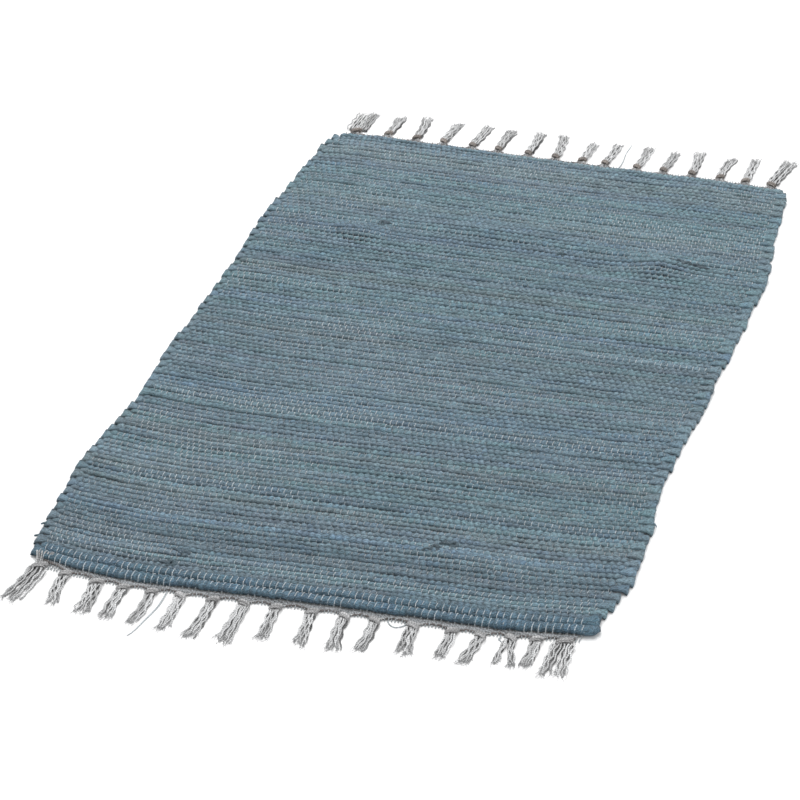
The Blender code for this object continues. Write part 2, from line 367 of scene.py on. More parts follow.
print("a wandering line:", wander(random.Random(SEED), 6, 2, 1.0).round(2).tolist())

# %% Sections, faces and maps
ON_FLOOR = 0.05                # mm: the floor presses every strand flat underneath
CAP_INSET = 0.4                # mm from a strand's tips at which its two ends read their pattern


def sweep(path, wide, tall, outline, roll, ups):
    """Points of an outline that is swept along a path. wide and tall are half sizes."""
    count = len(path)
    ahead = unit(np.gradient(path, axis=0))
    across = unit(np.cross(ahead, UP if ups is None else ups))
    above = np.cross(across, ahead)
    roll = filled(roll, count)[:, None]
    turned = across * np.cos(roll) + above * np.sin(roll)
    above = above * np.cos(roll) - across * np.sin(roll)
    flat = outline[None, :, 0] * filled(wide, count)[:, None]
    high = outline[None, :, 1] * filled(tall, count)[:, None]
    ring = path[:, None] + turned[:, None] * flat[..., None] + above[:, None] * high[..., None]
    ring[..., 2] = np.maximum(ring[..., 2], ON_FLOOR)
    return ring


def tube_faces(count, sides):
    """The faces between a tube's sections, and those that close its two ends."""
    first = np.arange(count - 1)[:, None] * sides + np.arange(sides)[None]
    after = np.arange(count - 1)[:, None] * sides + (np.arange(sides)[None] + 1) % sides
    quads = np.stack([first, first + sides, after + sides, after], -1).reshape(-1, 4)
    caps = np.stack([np.arange(sides), count * sides - 1 - np.arange(sides)])
    return quads, caps


def tube_map(path, sides):
    """For each corner of each face, millimetres along the tube and the share of the way round it."""
    run = np.concatenate([[0.0], np.cumsum(np.linalg.norm(np.diff(path, axis=0), axis=1))])
    low = np.stack(np.broadcast_arrays(run[:-1, None], np.arange(sides)[None] / sides), -1)
    step = np.stack(np.broadcast_arrays(np.diff(run)[:, None], np.full((1, sides), 1.0 / sides)), -1)
    places = np.stack([low, low + step * [1, 0], low + step, low + step * [0, 1]], 2).reshape(-1, 2)
    rim = np.stack([np.full(sides, CAP_INSET), np.arange(sides) / sides], -1)
    return np.concatenate([places, rim, rim[::-1] + [run[-1] - 2.0 * CAP_INSET, 0]]), run[-1]


quads, caps = tube_faces(3, 6)
print("a tube of 3 sections and 6 sides:", len(quads), "quads and", len(caps), "ends")

# %% Strand builder
ROW_MARGIN = 0.06              # free room on both sides of a strand in the packed map, as a share of its row
ROW_START, ROW_LENGTH = 0.004, 0.992
PATTERN_STEP = 997.0           # mm by which each strand's pattern is shifted on from the last one's


class Strands:
    """Closed tubes, gathered into one mesh. All of its sizes are in millimetres."""

    def __init__(self, rows):
        """rows is how many tubes lie side by side in the packed map."""
        self.rows = rows
        self.used = 0
        self.total = 0
        self.points = []
        self.faces = []
        self.packed = []
        self.strip = []
        self.dyes = []

    def tube(self, path, wide, tall, outline, dye, roll=0.0, ups=None, turns=1.0):
        """Add a tube along a path. turns is how far round it its pattern goes."""
        path = np.asarray(path, float)
        count = len(path)
        sides = len(outline)
        self.points.append(sweep(path, wide, tall, outline, roll, ups).reshape(-1, 3))
        dye = dye[:, None] if dye.ndim == 2 else dye
        self.dyes.append(np.broadcast_to(dye, (count, sides, 3)).reshape(-1, 3))
        quads, caps = tube_faces(count, sides)
        self.faces += (quads + self.total).tolist() + (caps + self.total).tolist()
        places, length = tube_map(path, sides)
        row = self.used % self.rows
        self.packed.append(np.stack([
            ROW_START + ROW_LENGTH * places[:, 0] / length,
            (row + ROW_MARGIN + (1.0 - 2.0 * ROW_MARGIN) * places[:, 1]) / self.rows,
        ], -1))
        self.strip.append(places * [1.0, turns] + [PATTERN_STEP * self.used, 0.0])
        self.used += 1
        self.total += count * sides

    def piece(self, name, material, slot, *nodes):
        """Make the mesh, and let it ride on the mat in place of the named solids."""
        mesh = bpy.data.meshes.new(name)
        mesh.from_pydata((np.concatenate(self.points) * MM).tolist(), [], self.faces)
        for layer, places in (("OFBake", self.packed), ("Strand", self.strip)):
            mesh.uv_layers.new(name=layer).uv.foreach_set("vector", np.concatenate(places).ravel())
        dyes = np.concatenate(self.dyes)
        dyes = np.concatenate([dyes, np.ones((len(dyes), 1))], 1)
        # the points' colours: each strand's dye, with the painted shade and light multiplied into it
        mesh.color_attributes.new("dye", "FLOAT_COLOR", "POINT").data.foreach_set("color", dyes.ravel())
        mesh.polygons.foreach_set("use_smooth", [True] * len(mesh.polygons))
        mesh.materials.append(material)
        made = bpy.data.objects.new(name, mesh)
        bpy.context.collection.objects.link(made)
        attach(made, "root")
        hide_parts(*nodes)
        return made


print("a gathering of strands can:", [name for name in vars(Strands) if not name.startswith("_")])

# %% [markdown]
# ## The ground's lines
#
# The weaver beats the passes in by hand, so the mat is nowhere quite straight: its long edges wave, the ends
# slant, and a few passes bend round a lump. These are the same edges, passes and bends as the solid's, in
# millimetres, and every strand below is laid on them.

# %% Edges, ends and bends of the ground
Side = namedtuple("Side", "along left right")
SIDES = (  # share of the length, and x of the left and the right edge there
    Side(0.000, -276, 280), Side(0.012, -284, 287), Side(0.040, -291, 292), Side(0.080, -295, 300),
    Side(0.120, -298, 304), Side(0.180, -304, 301), Side(0.220, -304, 298), Side(0.270, -297, 291),
    Side(0.330, -293, 292), Side(0.400, -298, 294), Side(0.450, -300, 299), Side(0.500, -298, 298),
    Side(0.570, -299, 300), Side(0.650, -298, 303), Side(0.720, -303, 304), Side(0.780, -304, 305),
    Side(0.840, -300, 297), Side(0.920, -297, 291), Side(0.970, -295, 288), Side(0.990, -291, 284),
    Side(1.000, -283, 276),
)
End = namedtuple("End", "share near far")
ENDS = (  # share of the width, and y of the near and the far end there
    End(0.000, -437.0, 460.0), End(0.012, -440.5, 463.5), End(0.090, -448.5, 465.5),
    End(0.190, -453.0, 461.0), End(0.320, -451.0, 456.0), End(0.460, -447.0, 450.0),
    End(0.600, -444.0, 445.5), End(0.710, -442.5, 442.5), End(0.830, -441.3, 440.5),
    End(0.900, -437.5, 437.0), End(0.988, -430.5, 432.0), End(1.000, -428.0, 430.0),
)
Wave = namedtuple("Wave", "x y reach_x reach_y shift rise")
WAVES = (  # the middle of each bend, how far it reaches, and how far it shifts and raises the passes
    Wave(-175, 236, 34, 18, 5.0, 1.4), Wave(-33, 270, 75, 20, 4.5, 0.5), Wave(113, 216, 42, 18, -6.0, 0.4),
    Wave(183, 232, 28, 18, 7.0, 2.2), Wave(-160, -398, 40, 12, 2.0, 1.4), Wave(140, -348, 40, 12, 2.0, 1.6),
    Wave(-60, 60, 120, 60, 2.5, 0.4), Wave(90, -120, 120, 60, -2.5, 0.5),
)
END_ALONG = {-1: 0.0, 1: 1.0}          # the near side is -1 and the far side 1
END_NAME = {-1: "near", 1: "far"}
ROUNDING = 0.012                       # how far a table's points are rounded off, as a share
print("rows of edges:", len(SIDES), "rows of ends:", len(ENDS), "bends:", len(WAVES))


# %% Places on the ground
def along_table(table, key, value, at):
    """Read a column of a table at places along another one, a little rounded off at its points."""
    keys = [getattr(row, key) for row in table]
    values = [getattr(row, value) for row in table]
    near = [np.interp(np.asarray(at) + offset, keys, values) for offset in (-ROUNDING, 0.0, ROUNDING)]
    return (near[0] + 2.0 * near[1] + near[2]) / 4.0


def bend(x, y):
    """How far the passes are shifted along Y and raised at places of the ground."""
    shift = np.zeros_like(x)
    rise = np.zeros_like(x)
    for wave in WAVES:
        near = np.exp(-((x - wave.x) / wave.reach_x) ** 2 - ((y - wave.y) / wave.reach_y) ** 2)
        shift += wave.shift * near
        rise += wave.rise * near
    return shift, rise


def ground_at(share, along):
    """Places on the ground from shares of its width and length, with how far it is raised there."""
    share, along = np.broadcast_arrays(np.asarray(share, float), np.asarray(along, float))
    left = along_table(SIDES, "along", "left", along)
    right = along_table(SIDES, "along", "right", along)
    near = along_table(ENDS, "share", "near", share)
    far = along_table(ENDS, "share", "far", share)
    x = left + (right - left) * share
    y = near + (far - near) * along
    shift, rise = bend(x, y)
    return x, y + shift, rise


def edge_x(along, leftwards):
    """x of the left or right edge at a share of the length."""
    return float(along_table(SIDES, "along", "left" if leftwards else "right", along))


def end_edges(side):
    """x of the left and the right edge at one end of the ground."""
    return edge_x(END_ALONG[side], True), edge_x(END_ALONG[side], False)


def end_line(share, side, past):
    """Places past the near or far end of the ground."""
    left, right = end_edges(side)
    y = along_table(ENDS, "share", END_NAME[side], share)
    return left + (right - left) * share, y + side * past


print("near corners at x", [round(value, 1) for value in end_edges(-1)])

# %% Places and heights of the passes
LENGTH = 893.0               # mean length of the ground in mm
PICKS = 126
THICK_PICKS = (1.8, 1.55)    # widths of the first passes, as shares of a usual one
THICK_CREST = 7.8            # height of their tops in mm
PICK_SPREAD = (0.84, 1.18)   # widths of the other passes, and the heights of their tops in mm
CREST = (5.2, 6.3)


def passes():
    """Each pass's start and end as shares of the length, and the height of its top."""
    chance = random.Random(SEED)
    widths = [chance.uniform(*PICK_SPREAD) for _ in range(PICKS)]
    crests = [chance.uniform(*CREST) for _ in range(PICKS)]
    for number, times in enumerate(THICK_PICKS):
        widths[number] = times
        crests[number] = THICK_CREST
    edges = np.concatenate([[0.0], np.cumsum(widths)]) / sum(widths)
    return edges, np.array(crests)


edges, crests = passes()
print("passes:", len(crests), "mean width", round(LENGTH / PICKS, 2), "mm")

# %% [markdown]
# ## Dyes
#
# The strips come from many old garments. Most are steel blue, teal or denim blue, a few are paler or greyer,
# and some near the near end are purplish or brownish. A strip lasts for up to about two passes and then the
# next one begins, often part-way along a pass. The first two passes are of one thick deep blue rag.


# %% Dyes of the strips
def light_of(red, green, blue):
    """A colour given as on a screen, from 0 to 255, as light."""
    return np.array([((value / 255 + 0.055) / 1.055) ** 2.4 for value in (red, green, blue)])


DYES = {
    "steel": light_of(115, 136, 147), "teal": light_of(112, 136, 145), "denim": light_of(110, 133, 147),
    "sky": light_of(122, 143, 153), "slate": light_of(107, 129, 141), "mauve": light_of(113, 131, 142),
    "earth": light_of(116, 134, 142), "deep": light_of(80, 105, 120), "sea": light_of(110, 135, 144),
}
COMMON = (
    "steel", "steel", "teal", "denim", "sky", "slate", "steel", "sea", "teal", "mauve", "earth", "steel",
)
NEAR_END = (  # the first strips: dye, length in passes and strength
    ("deep", 2.0, 1.05), ("slate", 0.35, 0.82), ("mauve", 1.0, 0.84), ("steel", 0.6, 1.08),
    ("teal", 0.9, 1.12), ("mauve", 0.6, 1.1), ("slate", 1.5, 1.02), ("mauve", 2.1, 0.88),
    ("slate", 2.4, 0.86), ("steel", 1.3, 1.0),
)
STRIP_LENGTH = (0.3, 2.2)       # shortest and longest strip, in passes
STRIP_TINT = (0.985, 1.015)     # how far a strip strays from its dye in each colour, and in strength
STRIP_STRENGTH = (0.92, 1.08)


def strip_dyes():
    """Where each strip ends, counted in passes, and its dye with a small change of its own."""
    chance = random.Random(SEED + 3)
    ends = []
    dyes = []
    reach = 0.0
    for name, length, strength in NEAR_END:
        reach += length
        ends.append(reach)
        dyes.append(DYES[name] * strength)
    while reach < PICKS + 1:
        reach += chance.uniform(*STRIP_LENGTH)
        ends.append(reach)
        tint = np.array([chance.uniform(*STRIP_TINT) for _ in range(3)])
        dyes.append(DYES[chance.choice(COMMON)] * tint * chance.uniform(*STRIP_STRENGTH))
    return np.array(ends), np.array(dyes)


strip_ends, dyes_of_strips = strip_dyes()
print("strips:", len(strip_ends))

# %% [markdown]
# ## The weave
#
# It is a plain weave: each warp end goes over one pass and under the next, and its neighbours do the
# opposite. A rag is soft, so it is pinched where a warp end crosses it and puffs up between two of them. Some
# stretches are stiff and thick, and the warp lies on them as clear pale ticks. Others are soft, and the warp
# sinks in.

# %% Weave sizes
WARP_ENDS = 167
WARP_INSET = 0.019             # the outermost warp ends, as a share of the width
RAG_FLOOR = 1.2                # mm from the floor to a rag's lower side, which leaves room for the warp
PINCH = (0.7, 2.2)             # mm by which a warp end sinks into the stiffest and the softest rag
RING_PLACES = (0.0, 0.17, 0.5, 0.83)    # sections of a rag between two warp ends that cross over it
RAG_OUTLINE = np.array([(1, 0), (0.55, 0.96), (-0.55, 0.96), (-1, 0), (-0.55, -0.96), (0.55, -0.96)])
PAINTED_HOLLOW_SHADE = np.array([0.74, 1.06, 1.06, 0.74, 0.74, 0.74])    # painted shade and light at its points: darker where passes meet, lighter on top
PAINTED_CROSSING_SHADE = (0.15, 0.6)   # painted shade: how much darker the stiffest and the softest rag is painted under a warp end; its puffs are painted lighter
warp_shares = np.linspace(WARP_INSET, 1.0 - WARP_INSET, WARP_ENDS)
warp_step = warp_shares[1] - warp_shares[0]
print("warp ends:", WARP_ENDS, "as shares of the width", round(float(warp_step), 4), "apart")

# %% Soft and stiff rag
SOFT_PLACES = np.linspace(0.0, 1.0, 7)         # shares of the width at which each pass has its own softness
SOFT_MIDDLE = 0.52             # usual softness, its drift over the mat, and how far a pass strays from it
SOFT_SWING = 0.45
SOFT_OWN = 0.3
Stretch = namedtuple("Stretch", "pick first last")
STIFF = (  # stretches of stiff, smooth rag, counted in the soft places above
    Stretch(77, 5, 7), Stretch(75, 5, 7), Stretch(67, 5, 7), Stretch(77, 0, 2), Stretch(76, 0, 2),
    Stretch(66, 1, 3), Stretch(52, 2, 4), Stretch(5, 0, 7), Stretch(4, 3, 7),
)

chance = random.Random(SEED + 5)
zones = np.stack([wander(chance, PICKS, 6.0, SOFT_SWING) for _ in SOFT_PLACES], 1) + SOFT_MIDDLE
own = np.array([chance.uniform(-SOFT_OWN, SOFT_OWN) for _ in range(PICKS)])
softness = np.clip(zones + own[:, None], 0.0, 1.0)
softness[:len(THICK_PICKS)] = 0.0
for row in STIFF:
    softness[row.pick, row.first:row.last] = 0.0
print("share of soft rag:", round(float((softness > 0.5).mean()), 2))


# %% Size of a pass
def soft_at(pick, share):
    """How soft the rag is at shares of the width: 0 is stiff and 1 is soft."""
    return np.interp(share, SOFT_PLACES, softness[pick])


def pinch_at(pick, share):
    """1 where a warp end crosses over a pass, -1 where one crosses under it, and smooth between them."""
    return np.cos((share - warp_shares[pick % 2]) / warp_step * math.pi)


def rag_size(pick, share, noise):
    """Half width, half height and middle height of a pass at shares of the width."""
    start, end = edges[pick], edges[pick + 1]
    half = 0.5 * (end - start) * LENGTH
    soft = soft_at(pick, share)
    pinch = between(PINCH, soft)
    inside = (share > warp_shares[0] - warp_step) & (share < warp_shares[-1] + warp_step)
    press = pinch_at(pick, share) * inside
    over = np.maximum(press, 0.0) ** 3
    under = np.maximum(-press, 0.0) ** 3
    top = crests[pick] + noise - pinch * over + 0.3 * pinch * under
    low = RAG_FLOOR + 0.8 * pinch * under
    wide = half * (1.05 - (0.05 + 0.15 * soft) * over + 0.08 * under)
    return wide, 0.5 * (top - low), 0.5 * (top + low)


print("a pass in the middle, in mm:", [size.round(1).tolist() for size in rag_size(63, np.array([0.5]), 0.0)])

# %% [markdown]
# ## Rag passes
#
# The weaver lays in one long strip after another. At the long edge the strip turns over, goes back under
# itself and becomes the next pass, so each pass is one strand that ends in such a fold. The first one starts
# with a rounded free end at the near right corner. Here and there a knot or a torn end sticks out of the
# weave. The passes are shared out over three pieces, because one would be too heavy.

# %% Fold sizes
Fold = namedtuple("Fold", "out on rise wide tall facing")
FOLDS = (  # way out to the edge and on to the next pass, rise in mm, sizes, and half turns turned over
    Fold(0.30, 0.14, 0.4, 1.40, 0.84, 0.0), Fold(0.65, 0.34, 0.4, 1.80, 0.68, 0.06),
    Fold(0.94, 0.46, -0.5, 2.00, 0.54, 0.3), Fold(1.00, 0.50, -1.8, 1.90, 0.45, 0.5),
    Fold(0.85, 0.58, -2.4, 1.60, 0.38, 0.9), Fold(0.40, 0.80, -2.3, 1.20, 0.40, 1.0),
)
FOLD_REACH = (-0.6, 2.8)       # how far a fold reaches past the mean edge, in mm
FREE_END = (  # the first strip's rounded end at the near right corner, like the folds
    Fold(1.00, 0.80, -0.8, 0.50, 0.5, 0.0), Fold(0.94, 0.42, -0.4, 1.0, 0.8, 0.0),
    Fold(0.78, 0.14, -0.2, 1.2, 0.95, 0.0), Fold(0.45, 0.02, 0.0, 1.1, 1.0, 0.0),
)
FREE_REACH = 5.0               # mm by which that end reaches past the mean edge
FOLD_FULLNESS = (0.8, 1.1)     # how fully a fold takes the widths above
print("sections of a fold:", len(FOLDS), "and of the free end:", len(FREE_END))


# %% Sections and folds of a pass
def rag_shares(pick):
    """Where a pass has its sections, from left to right."""
    over = warp_shares[pick % 2::2]
    places = np.array(RING_PLACES)[None] * 2.0 * warp_step + over[:, None]
    places = np.concatenate([over[0] - np.array([1.0, 0.34]) * warp_step, places.ravel()])
    margin = 0.8 * WARP_INSET
    return places[(places > margin) & (places < 1.0 - margin)]


def fold_over(last, wide, tall, leftwards, pick, chance):
    """Sections of the fold that takes the strip over the edge and back under it into the next pass."""
    after = min(pick + 1, PICKS - 1)
    outward = -1.0 if leftwards else 1.0
    reach = edge_x(edges[pick + 1], leftwards) + outward * chance.uniform(*FOLD_REACH)
    _, y_after, _ = ground_at(0.02 if leftwards else 0.98, 0.5 * (edges[after] + edges[after + 1]))
    step = float(y_after) - last[1] + chance.uniform(-1.0, 1.0)
    broad = chance.uniform(*FOLD_FULLNESS) if 0 < pick < after else 0.25
    path, wides, talls, ups = [], [], [], []
    for row in FOLDS:
        path.append((last[0] + (reach - last[0]) * row.out, last[1] + step * row.on, last[2] + row.rise))
        wides.append(wide * (1.0 + (row.wide - 1.0) * broad))
        talls.append(tall * row.tall)
        angle = row.facing * math.pi
        ups.append((outward * math.sin(angle), 0.0, math.cos(angle)))
    return path, wides, talls, ups


def begin_pass(first, wide, tall, leftwards, pick):
    """Sections before a pass: under the fold that it comes out of, or the round end of the first strip."""
    edge = edge_x(0.5 * (edges[pick] + edges[pick + 1]), not leftwards)
    way = edge - first[0]
    if pick > 0:
        return [(first[0] + 0.5 * way, first[1], first[2] - 0.8)], [1.05 * wide], [0.7 * tall]
    step = (edges[1] - edges[0]) * LENGTH
    reach = way + FREE_REACH
    path = [(first[0] + reach * row.out, first[1] + step * row.on, first[2] + row.rise) for row in FREE_END]
    return path, [wide * row.wide for row in FREE_END], [tall * row.tall for row in FREE_END]


print("sections of the first pass:", len(rag_shares(0)))

# %% One pass
CALM = 0.4                     # how much of its unevenness a thick pass keeps
WOVEN_BEFORE, WOVEN_AFTER = 0.1, 0.2   # how much of the painted shade where passes meet the strip keeps before a pass and in its fold


def lay_pass(strands, pick, chance):
    """One pass of rag from edge to edge, with the fold at the end where the next one begins."""
    share = rag_shares(pick)
    count = len(share)
    noise = wander(chance, count, 23, 0.45) + wander(chance, count, 5, 0.45)
    if pick < len(THICK_PICKS):
        noise = CALM * noise
    wide, tall, middle = rag_size(pick, share, noise)
    x, y, rise = ground_at(share, 0.5 * (edges[pick] + edges[pick + 1]))
    y = y + wander(chance, count, 31, 0.35) + wander(chance, count, 6, 0.5)
    path = np.stack([x, y, middle + rise], 1)
    roll = wander(chance, count, 17, 0.2) + wander(chance, count, 4, 0.2)
    wide = wide * (1.0 + wander(chance, count, 6, 0.11))
    # painted shade where a warp end pinches the rag and painted light on the puffs between; the wander is a
    # random change of tone
    press = pinch_at(pick, share)
    depth = between(PAINTED_CROSSING_SHADE, soft_at(pick, share))
    shade = 1.0 + depth * np.where(press > 0.0, -press ** 3, 0.3 * np.abs(press))
    shade = shade + wander(chance, count, 2, 0.17)
    leftwards = pick % 2 == 0
    if leftwards:
        path, wide, tall, roll, shade = path[::-1], wide[::-1], tall[::-1], roll[::-1], shade[::-1]
    starts, start_wide, start_tall = begin_pass(path[0], wide[0], tall[0], leftwards, pick)
    last = path[-1], wide[-1], tall[-1]
    folds, fold_wide, fold_tall, fold_ups = fold_over(*last, leftwards, pick, chance)
    before, after = len(starts), len(folds)
    path = np.concatenate([starts, path, folds])
    wide = np.concatenate([start_wide, wide, fold_wide])
    tall = np.concatenate([start_tall, tall, fold_tall])
    roll = np.concatenate([np.zeros(before), roll, np.zeros(after)])
    ups = np.concatenate([np.tile(UP, (before + count, 1)), fold_ups])
    shade = np.concatenate([np.ones(before), shade, np.ones(after)])
    woven = np.concatenate([np.full(before, WOVEN_BEFORE), np.ones(count), np.full(after, WOVEN_AFTER)])
    dye = dyes_of_strips[np.searchsorted(strip_ends, np.linspace(pick, pick + 1, len(path)))]
    # painted shade and light: darker where passes meet and where a warp end pinches the rag, lighter on top
    # and on its puffs
    dye = dye[:, None] * (shade[:, None] * PAINTED_HOLLOW_SHADE[None] ** woven[:, None])[..., None]
    strands.tube(path, wide, tall, RAG_OUTLINE, dye, roll, ups, turns=20.0)


print("sections between two crossings of the warp:", len(RING_PLACES))

# %% Torn ends
Scrap = namedtuple("Scrap", "x y z turn length half loops strength")
SCRAPS = (  # place in mm, direction in degrees, length, half width, number of loops and how pale it is
    Scrap(-140, -421, 6.2, 185, 12, 3.0, 3, 0.5), Scrap(-133, -403, 5.8, 160, 15, 3.4, 3, 0.52),
    Scrap(104, -337, 6.0, 190, 12, 3.0, 3, 0.52), Scrap(119, -327, 5.8, 165, 12, 2.8, 2, 0.56),
    Scrap(-156, 259, 5.8, 20, 9, 3.0, 2, 0.5), Scrap(224, 238, 5.8, -10, 14, 3.8, 3, 0.4),
    Scrap(212, 241, 6.2, 180, 12, 3.4, 3, 0.46), Scrap(202, 245, 5.8, 170, 12, 3.2, 2, 0.5),
    Scrap(66, 232, 5.6, 35, 8, 2.6, 1, 0.5), Scrap(262, 226, 5.2, 0, 8, 2.4, 1, 0.5),
    Scrap(-288, -383, 3.4, 195, 9, 2.2, 0, 0.8), Scrap(-286, -404, 3.2, 200, 9, 2.4, 0, 0.7),
    Scrap(294, -243, 3.2, -10, 10, 2.0, 0, 1.2),
)
LOOP_HALVES = (3.6, 3.4, 2.2)  # half sizes of a small loop in mm, before it is tilted


def lay_scrap(strands, row, chance):
    """A torn end of a strip that sticks out of the weave, with small loops where it is knotted."""
    dye = DYES["steel"] * row.strength
    share = np.linspace(0.0, 1.0, 8)
    angle = math.radians(row.turn) + chance.uniform(-0.8, 0.8) * share
    x = row.x + np.cumsum(np.cos(angle)) * row.length / 7.0
    y = row.y + np.cumsum(np.sin(angle)) * row.length / 7.0
    z = row.z + 0.8 * np.sin(math.pi * share) - 0.6 * share
    path = np.stack([x, y, z], 1)
    strands.tube(path, row.half * (1.1 - share), 0.45 * row.half, RAG_OUTLINE, dye, turns=10.0)
    for _ in range(row.loops):
        around = np.linspace(0.0, 1.8 * math.pi, 10) + chance.uniform(0.0, 6.28)
        tilt = chance.uniform(0.3, 0.9)
        loop = np.stack([
            row.x + chance.uniform(-1.5, 1.5) + LOOP_HALVES[0] * np.cos(around),
            row.y + LOOP_HALVES[1] * math.cos(tilt) * np.sin(around),
            row.z + LOOP_HALVES[2] * math.sin(tilt) * np.sin(around),
        ], 1)
        strands.tube(loop, 1.7, 1.3, RAG_OUTLINE, dye * chance.uniform(0.8, 1.3), turns=10.0)


print("torn ends:", len(SCRAPS))

# %% All the rag passes
CLOTH_PARTS = 3
cloth_parts = []
for part in range(CLOTH_PARTS):
    first, last = part * PICKS // CLOTH_PARTS, (part + 1) * PICKS // CLOTH_PARTS
    strands = Strands(last - first)
    chance = random.Random(SEED + 100 + part)
    for pick in range(first, last):
        lay_pass(strands, pick, chance)
    low, high = (float(ground_at(0.5, edges[pick])[1]) for pick in (first, last))
    for row in SCRAPS:
        if low <= row.y < high:
            lay_scrap(strands, row, chance)
    cloth_parts.append(strands.piece(f"rag_passes_{part + 1}", RAG, "rag_cotton", "cloth"))
print("rag points:", [len(made.data.vertices) for made in cloth_parts])

# %% [markdown]
# ## The warp
#
# The warp ends run the whole length. On the visible side each one comes up between two passes, crosses the
# next one and goes down again. At both ends it goes on through the heading, so it is drawn out there to the
# heading's outer edge.

# %% Warp sizes
YARN_HALF = 0.62               # half width of a warp end in mm
LIFT = (0.6, 0.72)             # mm from a rag's top up to a warp end, on the stiffest and the softest rag
NEAR_LIFT = (-0.05, 0.3)       # its height on a pass's near side, as a share of the rag's half height
FAR_LIFT = (0.36, 0.3)         # the same on the far side
UNDER = 0.55                   # its height under a pass in mm, and the painted shade that darkens it there
UNDER_PAINTED_SHADE = 0.5
CROSSING = (-1.0, -0.55, 0.5, 0.98)    # its points on a pass, from near to far, in half widths
HEADING_WIDTH = 8.5            # mm from the ground to a heading's outer edge
HEADING_YARNS = 4
HEADING_PITCH = HEADING_WIDTH / HEADING_YARNS
HEADING_OVER, HEADING_UNDER = 2.6, 0.5     # height of a warp end over and under a heading's yarns in mm
HEADING_LIGHT = 0.8            # how pale a warp end is in the headings
WARP_SPAN = (0.025, 0.98)      # the part of the length between the rounded corners
YARN_DYE = light_of(202, 210, 215)
TICK_PAINTED_SHADE = (1.0, 0.66)       # painted shade: how pale it is on the stiffest rag, and darker where it sinks into the softest
TICK_SPREAD = (0.78, 1.08)     # how the passes differ in that
TRIANGLE = section(3, 0.5 * math.pi)

chance = random.Random(SEED + 7)
tick_light = np.array([chance.uniform(*TICK_SPREAD) for _ in range(PICKS)])
tick_light[:len(THICK_PICKS)] = 1.0
print("paleness of the ticks:", round(float(tick_light.min()), 2), "to", round(float(tick_light.max()), 2))


# %% Path of a warp end
def warp_x(number, along):
    """x of a warp end, which runs on straight where the ground's corners are rounded off."""
    along = np.clip(along, *WARP_SPAN)
    left, right = (along_table(SIDES, "along", side, along) for side in ("left", "right"))
    return left + (right - left) * warp_shares[number]


def heading_crossings(number, side):
    """Where a warp end crosses a heading's yarns, from the ground outwards."""
    rows = np.arange(HEADING_YARNS)
    over = (number + rows + {-1: 1, 1: PICKS}[side]) % 2 == 0
    past = np.append((rows + 0.5) * HEADING_PITCH, HEADING_WIDTH + 0.4)
    _, y = end_line(warp_shares[number], side, past)
    z = np.append(np.where(over, HEADING_OVER, HEADING_UNDER), 1.2)
    return np.stack([np.full(len(past), warp_x(number, END_ALONG[side])), y, z], 1)


def warp_path(number, chance):
    """The line of one warp end between the headings' outer edges, and how pale it is at each point, with
    painted shade where it sinks into soft rag or runs under a pass.
    """
    share = warp_shares[number]
    places = []
    for pick in range(PICKS):
        middle = 0.5 * (edges[pick] + edges[pick + 1])
        if (pick + number) % 2 == 1:
            places.append((middle, UNDER, UNDER_PAINTED_SHADE))
            continue
        wide, tall, centre = (float(size[0]) for size in rag_size(pick, np.array([share]), 0.0))
        soft = float(soft_at(pick, share))
        top = tall + centre + between(LIFT, soft)
        near = centre + tall * between(NEAR_LIFT, soft)
        far = centre + tall * between(FAR_LIFT, soft)
        # painted shade where the warp end sinks into soft rag
        light = tick_light[pick] * between(TICK_PAINTED_SHADE, soft)
        for reach, height in zip(CROSSING, (near, top, top, far)):
            places.append((middle + reach * wide / LENGTH, height, light))
    places = np.array(places)
    _, y, rise = ground_at(share, places[:, 0])
    x = warp_x(number, places[:, 0])
    x = x + wander(chance, len(x), 9, 0.35) + wander(chance, len(x), 2, 0.15)
    path = np.stack([x, y, places[:, 1] + rise], 1)
    ends = heading_crossings(number, -1)[::-1], heading_crossings(number, 1)
    in_heading = np.full(len(ends[0]), HEADING_LIGHT)
    light = np.concatenate([in_heading, places[:, 2], in_heading])
    return np.concatenate([ends[0], path, ends[1]]), light


print("points of the first warp end:", len(warp_path(0, random.Random(SEED))[0]))

# %% All the warp ends
warp_parts = []
for label, numbers in (("left", range(0, WARP_ENDS // 2)), ("right", range(WARP_ENDS // 2, WARP_ENDS))):
    strands = Strands(len(numbers))
    chance = random.Random(SEED + 200 + numbers[0])
    for number in numbers:
        path, light = warp_path(number, chance)
        # the warp's paleness carries the painted shade from its path, with a random change of tone
        shade = shaded(YARN_DYE, light * (1.0 + wander(chance, len(path), 11, 0.2)))
        strands.tube(path, YARN_HALF, YARN_HALF, TRIANGLE, shade)
    warp_parts.append(strands.piece(f"warp_{label}", YARN, "grey_yarn", "cloth"))
print("warp points:", [len(made.data.vertices) for made in warp_parts])

# %% [markdown]
# ## Headings
#
# Past the last rag the weaver puts in a few shots of the warp's own yarn, which keep the rags from working
# loose. They lie close together as a narrow grey band, and the outermost one is darker and browner. The
# knots of the tassels hold them in place, and between two knots they draw back towards the rags, so the table
# of the tassels comes first. At the near left corner the heading rides up over the thick first rag.

